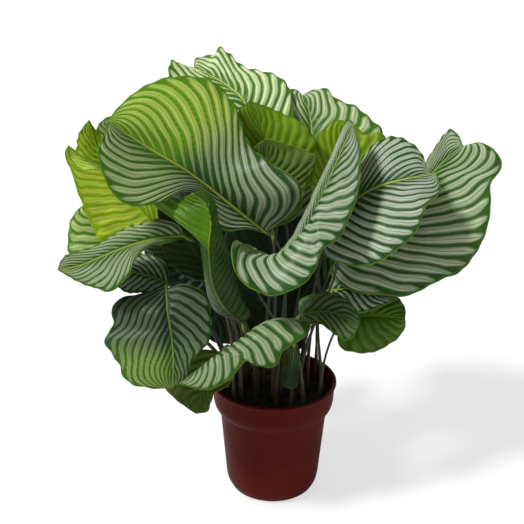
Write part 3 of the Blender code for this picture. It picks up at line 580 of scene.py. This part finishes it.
# ---------------------------------------------------------------- materials
class Nodes:
    """A short way to write a material's node tree."""

    def __init__(self, name):
        self.material = bpy.data.materials.new(name)
        self.material.use_nodes = True
        self.tree = self.material.node_tree
        self.shader = self.tree.nodes["Principled BSDF"]

    def new(self, kind, inputs=(), **settings):
        """A node with its settings and its inputs, each a number, a colour or another node's output."""
        node = self.tree.nodes.new(kind)
        for key, value in settings.items():
            setattr(node, key, value)
        for key, value in dict(inputs).items():
            self.put(node.inputs[key], value)
        return node

    def put(self, socket, value):
        """A value or a link on a socket."""
        if isinstance(value, bpy.types.NodeSocket):
            self.tree.links.new(value, socket)
        elif isinstance(value, tuple) and len(value) == 3 and socket.type == "RGBA":
            socket.default_value = (*value, 1.0)
        else:
            socket.default_value = value

    def look(self, **values):
        """Values on the shader, by socket name with underscores for spaces."""
        for key, value in values.items():
            self.put(self.shader.inputs[key.replace("_", " ")], value)

    def attribute(self, name):
        """A number that the mesh stores at each point."""
        return self.new("ShaderNodeAttribute", attribute_name=name).outputs["Fac"]

    def maths(self, operation, a, b=0.0):
        return self.new("ShaderNodeMath", {0: a, 1: b}, operation=operation).outputs[0]

    def product(self, first, *others):
        """All the values multiplied together."""
        for other in others:
            first = self.maths("MULTIPLY", first, other)
        return first

    def ramp(self, value, low, high, out_low=0.0, out_high=1.0):
        """The value's way from low to high, eased, as a way from out_low to out_high."""
        node = self.new("ShaderNodeMapRange", {0: value, 1: low, 2: high, 3: out_low, 4: out_high},
                        interpolation_type="SMOOTHSTEP")
        return node.outputs[0]

    def noise(self, scale, detail=3.0, vector=None, rough=0.55):
        """Cloudy noise around 0.5, over the object's own space unless a vector is given."""
        inputs = {"Scale": scale, "Detail": detail, "Roughness": rough, "Vector": vector or self.place()}
        return self.new("ShaderNodeTexNoise", inputs).outputs["Fac"]

    def cells(self, scale):
        """The distance to the nearest of many scattered points."""
        return self.new("ShaderNodeTexVoronoi", {"Vector": self.place(), "Scale": scale}).outputs["Distance"]

    def stretched(self, across, up):
        """The object's own space with unlike scales across and up."""
        node = self.new("ShaderNodeMapping", {"Vector": self.place(), "Scale": (across, across, up)})
        return node.outputs[0]

    def mix(self, share, a, b):
        """Colour a going over to colour b."""
        node = self.new("ShaderNodeMix", {"Factor": share}, data_type="RGBA")
        self.put(node.inputs["A"], a)
        self.put(node.inputs["B"], b)
        return node.outputs["Result"]

    def bump(self, height, strength, distance):
        node = self.new("ShaderNodeBump", {"Height": height, "Strength": strength, "Distance": distance})
        return node.outputs["Normal"]

    def place(self):
        return self.new("ShaderNodeTexCoord").outputs["Object"]


# Leaf colours, each a pair from painted shade to painted full light: the green between the bands and the
# bands' pale tone, each cool and yellow (the yellow partly a painted backlit glow), then the margin and the
# midrib.
UPPER_COLOURS = dict(
    cool_green=((0.001, 0.009, 0.003), (0.018, 0.096, 0.014)),
    yellow_and_glow_green=((0.010, 0.055, 0.001), (0.150, 0.380, 0.001)),
    cool_pale=((0.040, 0.078, 0.036), (0.700, 0.790, 0.590)),
    yellow_and_glow_pale=((0.060, 0.130, 0.008), (0.740, 0.900, 0.130)),
    margin=((0.030, 0.080, 0.004), (0.150, 0.310, 0.006)),
    midrib=((0.080, 0.120, 0.012), (0.460, 0.560, 0.070)))
# The underside's colours, paired the same way; its bright yellow-green is mostly a painted backlit glow.
LOWER_COLOURS = dict(
    cool_green=((0.006, 0.016, 0.005), (0.085, 0.130, 0.040)),
    yellow_and_glow_green=((0.030, 0.110, 0.001), (0.340, 0.560, 0.003)),
    cool_pale=((0.014, 0.028, 0.012), (0.140, 0.190, 0.080)),
    yellow_and_glow_pale=((0.060, 0.170, 0.001), (0.860, 0.960, 0.120)),
    margin=((0.030, 0.060, 0.006), (0.300, 0.430, 0.020)),
    midrib=((0.030, 0.045, 0.012), (0.230, 0.320, 0.050)))
DEAD_EDGE = (0.150, 0.070, 0.022)
WATER_MARK = (0.55, 0.58, 0.50)
BAND_WIDTHS = (0.10, 0.33)
VEINLETS = 9


def silver_bands(n, spot, streak, veinlet):
    """How silver the blade is: frayed bands that widen outward, split by their own side veins."""
    band, side = n.attribute("band"), n.attribute("side")
    off = n.maths("ABSOLUTE", n.maths("SUBTRACT", n.maths("FRACT", band), 0.5))
    half = n.product(n.ramp(side, 0.0, 0.35, *BAND_WIDTHS), n.ramp(side, 1.03, 0.86))
    wander = n.product(n.maths("SUBTRACT", spot, 0.5), 0.22)
    frayed = n.product(n.maths("SUBTRACT", streak, 0.5), 0.30)
    place = n.maths("SUBTRACT", n.maths("ADD", off, n.maths("ADD", wander, frayed)), half)
    return n.product(
        n.ramp(place, 0.11, -0.15), n.attribute("bold"), n.ramp(off, 0.008, 0.060, 0.30, 1.0),
        n.ramp(veinlet, -1.0, 0.4, 0.66, 1.0), n.ramp(streak, 0.34, 0.54, 0.55, 1.0),
        n.ramp(n.attribute("edge"), 1.0, 5.0), n.ramp(n.attribute("rib"), 0.9, 2.4))


def leaf_material(name, colours, roughness, gloss):
    """Green blade with silver bands, a green margin and a pale midrib, mixed between painted shade and
    painted light.
    """
    n = Nodes(name)
    band, edge, rib = n.attribute("band"), n.attribute("edge"), n.attribute("rib")
    # Painted light level, and the yellow tone that is partly a painted backlit glow.
    light, yellow_and_glow = n.attribute("light"), n.attribute("yellow_and_glow")
    spot = n.noise(24.0, 4.0)
    fine = n.noise(420.0, 2.0)
    along_band = n.new("ShaderNodeCombineXYZ", {
        "X": n.product(band, 7.0), "Y": n.product(n.attribute("side"), 2.2)})
    streak = n.noise(1.0, 3.0, along_band.outputs[0], 0.6)
    veinlet = n.maths("SINE", n.product(band, 2 * math.pi * VEINLETS))
    # Each colour set between its painted-shade and its painted-light end.
    tone = {part: n.mix(light, *ends) for part, ends in colours.items()}
    green = n.new("ShaderNodeVectorMath", {0: n.mix(yellow_and_glow, tone["cool_green"], tone["yellow_and_glow_green"])},
                  operation="SCALE")
    n.put(green.inputs["Scale"], n.product(n.ramp(spot, 0.30, 0.70, 0.80, 1.15),
                                           n.ramp(veinlet, -1.0, 1.0, 0.80, 1.15)))
    pale = n.mix(yellow_and_glow, tone["cool_pale"], tone["yellow_and_glow_pale"])
    colour = n.mix(silver_bands(n, spot, streak, veinlet), green.outputs[0], pale)
    colour = n.mix(n.ramp(edge, 2.2, 0.3), colour, tone["margin"])
    colour = n.mix(n.ramp(rib, 1.15, 0.75), colour, tone["midrib"])
    dead = n.product(n.ramp(edge, 2.0, 0.3), n.ramp(n.noise(38.0), 0.62, 0.68))
    colour = n.mix(dead, colour, DEAD_EDGE)
    speck = n.product(n.ramp(n.cells(130.0), 0.11, 0.05), n.ramp(n.noise(13.0, 2.0), 0.55, 0.70), 0.6)
    colour = n.mix(speck, colour, WATER_MARK)
    relief = n.maths("ADD", n.product(veinlet, 0.35), n.maths("ADD", fine, n.product(streak, 1.2)))
    n.look(Base_Color=colour, Roughness=n.ramp(fine, 0.3, 0.7, *roughness), Specular_IOR_Level=gloss,
           Normal=n.bump(relief, 0.40, 0.0004))
    return n.material


def stalk_material():
    """Green or purple-brown stalk, dull and fibrous at its sheathed foot, with a pale joint at the blade."""
    n = Nodes("stalk")
    share, to_top, tone = n.attribute("share"), n.attribute("to_top"), n.attribute("tone")
    patch = n.noise(60.0, 4.0)
    fibre = n.noise(1.0, 3.0, n.stretched(900.0, 40.0))
    low = n.mix(tone, (0.020, 0.011, 0.007), (0.090, 0.072, 0.030))
    high = n.mix(tone, (0.014, 0.008, 0.007), (0.030, 0.050, 0.010))
    colour = n.mix(n.ramp(share, 0.10, 0.45), low, high)
    colour = n.mix(n.ramp(patch, 0.45, 0.70, 0.0, 0.6), colour, (0.020, 0.014, 0.008))
    colour = n.mix(n.ramp(fibre, 0.50, 0.75, 0.0, 0.4), colour, (0.060, 0.066, 0.024))
    colour = n.mix(n.ramp(to_top, 24.0, 16.0), colour, (0.150, 0.210, 0.035))
    n.look(Base_Color=colour, Roughness=n.ramp(fibre, 0.3, 0.7, 0.42, 0.65),
           Normal=n.bump(fibre, 0.5, 0.0006))
    return n.material


def soil_material():
    """Near-black moist potting soil with lighter fibres and crumbs."""
    n = Nodes("soil")
    coarse = n.noise(140.0, 5.0)
    grain = n.cells(420.0)
    colour = n.mix(n.ramp(coarse, 0.40, 0.68), (0.0030, 0.0022, 0.0018), (0.0130, 0.0085, 0.0055))
    colour = n.mix(n.ramp(grain, 0.55, 0.85, 0.0, 0.5), colour, (0.034, 0.023, 0.015))
    n.look(Base_Color=colour, Roughness=0.93, Normal=n.bump(n.maths("ADD", coarse, grain), 0.9, 0.0015))
    return n.material


def pot_material():
    """Satin terracotta-brown plastic with a fine moulded grain, handling marks and dust."""
    n = Nodes("pot")
    cloud = n.noise(9.0)
    grain = n.noise(1500.0, 2.0)
    drawn = n.noise(1.0, 2.0, n.stretched(12.0, 900.0))
    scuff = n.noise(240.0, 5.0, rough=0.7)
    colour = n.mix(n.ramp(cloud, 0.35, 0.65), (0.080, 0.0048, 0.0016), (0.104, 0.0080, 0.0028))
    colour = n.mix(n.ramp(scuff, 0.66, 0.80, 0.0, 0.35), colour, (0.110, 0.028, 0.016))
    rough = n.maths("ADD", n.ramp(drawn, 0.3, 0.7, 0.34, 0.46), n.product(scuff, 0.10))
    height = n.maths("ADD", n.product(grain, 0.35), n.product(drawn, 0.4))
    n.look(Base_Color=colour, Roughness=rough, Specular_IOR_Level=0.07, Normal=n.bump(height, 0.18, 0.0005))
    return n.material


# ---------------------------------------------------------------- pot and soil
def round_place(radius, turn, height=0.0):
    """The point at a radius and an angle round the pot's axis."""
    return (radius * math.cos(turn), radius * math.sin(turn), height)


def turned(name, profile, materials, steps):
    """A solid of revolution from a profile of (radius, height) that starts and ends on the axis."""
    mesh = bpy.data.meshes.new(name)
    mesh.from_pydata([(r, 0.0, z) for r, z in profile], [(i, i + 1) for i in range(len(profile) - 1)], [])
    obj = add_piece(name, mesh, materials)
    screw = obj.modifiers.new("turn", "SCREW")
    screw.steps = steps
    screw.render_steps = steps
    screw.use_merge_vertices = True
    screw.merge_threshold = 0.00005
    screw.use_smooth_shade = True
    return obj


def rounded(corners, share=0.35, steps=4):
    """The profile with each inner corner cut back by a share of its shorter side, as a curve."""
    result = [corners[0]]
    for before, corner, after in zip(corners, corners[1:], corners[2:]):
        a, b, c = (Vector(p) for p in (before, corner, after))
        cut = min((a - b).length, (c - b).length) * share
        start, end = b + (a - b).normalized() * cut, b + (c - b).normalized() * cut
        for i in range(steps + 1):
            t = i / steps
            p = start * (1 - t) ** 2 + b * 2 * t * (1 - t) + end * t ** 2
            result.append((p.x, p.y))
    result.append(corners[-1])
    return result


def pot_profile(top):
    """The wall from the middle of the floor up its inner side, over the rim, and down its outer side."""
    foot = top - COLLAR_DEPTH
    inside = [
        (0.0, FLOOR), (NOTCH_RADIUS - 0.0090, FLOOR), (NOTCH_RADIUS - 0.0025, KNEE_HEIGHT * 0.35),
        (NOTCH_RADIUS - 0.0015, KNEE_HEIGHT * 0.65), (KNEE - WALL, KNEE_HEIGHT * 1.25), (BODY - WALL, foot),
        (COLLAR - WALL - 0.0020, foot + 0.0090), (COLLAR - WALL, foot + 0.0170),
        (COLLAR - WALL + 0.0005, top - 0.0040), (COLLAR - WALL + 0.0010, top - 0.0010),
        (COLLAR - WALL + 0.0020, top)]
    outside = [
        (RIM - 0.0012, top), (RIM, top - 0.0012), (RIM, top - 0.0040), (COLLAR + 0.0010, top - 0.0060),
        (COLLAR, foot + 0.0150), (COLLAR - 0.0020, foot + 0.0070), (BODY + 0.0040, foot + 0.0015),
        (BODY, foot - 0.0015), (KNEE, KNEE_HEIGHT), (KNEE - 0.0020, KNEE_HEIGHT * 0.55),
        (FOOT + 0.0045, KNEE_HEIGHT * 0.16), (FOOT, 0.0), (0.0, 0.0)]
    return rounded(inside + outside)


def pot_cutters():
    """Cylinders for the drainage holes and boxes for the notches in the foot."""
    tools = []
    for i in range(DRAIN_HOLES):
        turn = 2 * math.pi * (i + 0.5) / DRAIN_HOLES
        bpy.ops.mesh.primitive_cylinder_add(vertices=32, radius=DRAIN_HOLE_RADIUS, depth=FLOOR * 4,
                                            location=round_place(DRAIN_CIRCLE_RADIUS, turn))
        tools.append(bpy.context.object)
    for angle in NOTCH_ANGLES:
        turn = math.radians(angle)
        reach = NOTCH_RADIUS + NOTCH_WIDTH / 2
        bpy.ops.mesh.primitive_cube_add(size=1, location=round_place(reach, turn), rotation=(0.0, 0.0, turn))
        box = bpy.context.object
        box.scale = (NOTCH_WIDTH, NOTCH_WIDTH, NOTCH_HEIGHT * 2)
        tools.append(box)
    return tools


def make_pot(material):
    """The pot with its rounded lip, soft-edged collar, drainage holes and foot notches."""
    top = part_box("pot")[1][2]
    pot = turned("pot_wall", pot_profile(top), [material], POT_STEPS)
    tools = pot_cutters()
    for tool in tools:
        boolean = pot.modifiers.new("cut", "BOOLEAN")
        boolean.object = tool
        boolean.solver = "EXACT"
    bpy.context.view_layer.update()
    shape = bpy.data.meshes.new_from_object(pot.evaluated_get(bpy.context.evaluated_depsgraph_get()))
    pot.modifiers.clear()
    pot.data = shape
    shape.set_sharp_from_angle(angle=math.radians(40))
    for tool in tools:
        bpy.data.objects.remove(tool)
    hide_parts("pot")


def soil_height(r, turn, bump):
    """Low swells and fine unevenness of the soil's surface, level at its very middle."""
    swell = SOIL_SWELL * math.sin(r * 190 + 3 * turn) * math.cos(5 * turn + r * 80)
    return swell * min(1.0, r / SOIL_LEVEL_RADIUS) + SOIL_BUMP * (bump - 0.5)


def make_soil(material):
    """A crumbly, uneven soil surface that fills the pot to just under its collar."""
    low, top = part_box("soil")[0][2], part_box("soil")[1][2]
    radius = COLLAR - WALL - SOIL_GAP
    bumps = np.random.default_rng(5).random((SOIL_RINGS + 1, SOIL_SPOKES))
    turns = [2 * math.pi * j / SOIL_SPOKES for j in range(SOIL_SPOKES)]
    places = [(0.0, 0.0, top - 0.003)]
    for i in range(1, SOIL_RINGS + 1):
        r = radius * i / SOIL_RINGS
        for j, turn in enumerate(turns):
            height = -0.002 if i == SOIL_RINGS else soil_height(r, turn, bumps[i, j])
            places.append(round_place(r, turn, top - SOIL_DIP + height))
    sides = [(radius - 0.0002, top - 0.010), (BODY - WALL - SOIL_GAP, top - 0.026),
             (KNEE - WALL - SOIL_GAP, KNEE_HEIGHT * 1.25), (NOTCH_RADIUS - 0.0022, KNEE_HEIGHT * 0.65),
             (NOTCH_RADIUS - 0.0105, low)]
    for r, z in sides:
        places += [round_place(r, turn, z) for turn in turns]
    places.append((0.0, 0.0, low))
    last = len(places) - 1
    faces = []
    for j in range(SOIL_SPOKES):
        k = (j + 1) % SOIL_SPOKES
        faces.append((0, 1 + j, 1 + k))
        for ring in range(SOIL_RINGS + len(sides) - 1):
            a, b = 1 + ring * SOIL_SPOKES, 1 + (ring + 1) * SOIL_SPOKES
            faces.append((a + j, b + j, b + k, a + k))
        faces.append((last, last - SOIL_SPOKES + k, last - SOIL_SPOKES + j))
    soil = add_piece("soil_block", new_mesh("soil_block", places, faces), [material])
    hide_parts("soil")


def make_crumbs(material):
    """Loose crumbs and bark chips lying on the soil, as one mesh of small lumps."""
    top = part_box("soil")[1][2]
    rng = np.random.default_rng(11)
    lumps = bmesh.new()
    for _ in range(CRUMBS):
        r = (COLLAR - 0.006) * math.sqrt(rng.random())
        turn = rng.random() * 2 * math.pi
        size = 0.0008 + 0.0022 * rng.random() ** 2
        made = bmesh.ops.create_icosphere(lumps, subdivisions=1, radius=size)["verts"]
        stretch = Vector((1 + rng.random(), 0.7 + 0.5 * rng.random(), 0.5 + 0.4 * rng.random()))
        spin = Matrix.Rotation(rng.random() * math.pi, 3, "Z")
        centre = Vector(round_place(r, turn, top - SOIL_DIP + size * 0.3))
        for v in made:
            worn = Vector([v.co[k] * stretch[k] * (0.75 + 0.5 * rng.random()) for k in range(3)])
            v.co = centre + spin @ worn
    mesh = bpy.data.meshes.new("soil_crumbs")
    lumps.to_mesh(mesh)
    lumps.free()
    add_piece("soil_crumbs", mesh, [material])


# ---------------------------------------------------------------- the plant
def make_plant():
    """Every leaf of the table: its blade and its stalk."""
    stalk = stalk_material()
    upper = leaf_material("leaf_upper", UPPER_COLOURS, roughness=(0.26, 0.40), gloss=0.22)
    lower = leaf_material("leaf_lower", LOWER_COLOURS, roughness=(0.52, 0.66), gloss=0.12)
    for seed, (name, leaf) in enumerate(LEAVES.items()):
        kind = name.replace("leaf_", "")
        skins = [upper, upper] if MARKS[name].get("both") else [upper, lower]
        blade = add_piece("blade_" + kind, blade_mesh(name, leaf, seed * 10), skins)
        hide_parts(name)
        stem = add_piece("stem_" + kind, stalk_mesh("stem_" + kind, leaf, seed), [stalk])
        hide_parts("stalk_" + kind)


# ---------------------------------------------------------------- stage, light and camera
def make_stage():
    """A plain white floor that keeps the object's soft shadow, and reads as white around it."""
    bpy.ops.mesh.primitive_plane_add(size=FLOOR_SIZE, location=(0, FLOOR_AWAY, 0))
    floor = bpy.context.object
    floor.name = "floor"
    n = Nodes("floor")
    seen = n.new("ShaderNodeLightPath").outputs["Is Camera Ray"]
    n.look(Base_Color=n.mix(seen, (0.80, 0.80, 0.80), (0.46, 0.46, 0.46)), Roughness=1.0,
           Specular_IOR_Level=0.0, Emission_Color=(1.0, 1.0, 1.0),
           Emission_Strength=n.product(seen, FLOOR_GLOW))
    floor.data.materials.append(n.material)


def make_light():
    """A broad soft key from the upper left and an even pale surround."""
    world = bpy.data.worlds.new("studio")
    bpy.context.scene.world = world
    world.use_nodes = True
    tree = world.node_tree
    background = tree.nodes["Background"]
    background.inputs["Color"].default_value = (1.0, 1.0, 1.0, 1.0)
    seen = tree.nodes.new("ShaderNodeLightPath")
    level = tree.nodes.new("ShaderNodeMapRange")
    level.inputs["To Min"].default_value = WORLD_LEVEL
    level.inputs["To Max"].default_value = 1.0
    tree.links.new(seen.outputs["Is Camera Ray"], level.inputs["Value"])
    tree.links.new(level.outputs["Result"], background.inputs["Strength"])
    light = bpy.data.lights.new("key", "SUN")
    light.energy = KEY_LEVEL * math.pi
    light.angle = math.radians(KEY_SPREAD)
    obj = bpy.data.objects.new("key", light)
    obj.rotation_euler = Vector(KEY_FROM).to_track_quat("Z", "Y").to_euler()
    bpy.context.scene.collection.objects.link(obj)


def make_camera():
    """The camera: in front of the plant, looking down on it, and turned a little clockwise."""
    camera = bpy.data.cameras.new("camera")
    camera.sensor_width = SENSOR_WIDTH
    camera.lens = LENS
    obj = bpy.data.objects.new("camera", camera)
    pitch = math.radians(CAMERA_PITCH)
    away = Vector((0, math.cos(pitch), -math.sin(pitch)))
    obj.location = Vector(CAMERA_AIM) - away * CAMERA_DISTANCE
    turn = away.to_track_quat("-Z", "Y").to_matrix() @ Matrix.Rotation(math.radians(CAMERA_ROLL), 3, "Z")
    obj.rotation_euler = turn.to_euler()
    bpy.context.scene.collection.objects.link(obj)
    bpy.context.scene.camera = obj


make_camera()
make_light()
make_stage()
make_pot(pot_material())
soil = soil_material()
make_soil(soil)
make_crumbs(soil)
make_plant()
bpy.context.scene.view_settings.view_transform = "Standard"
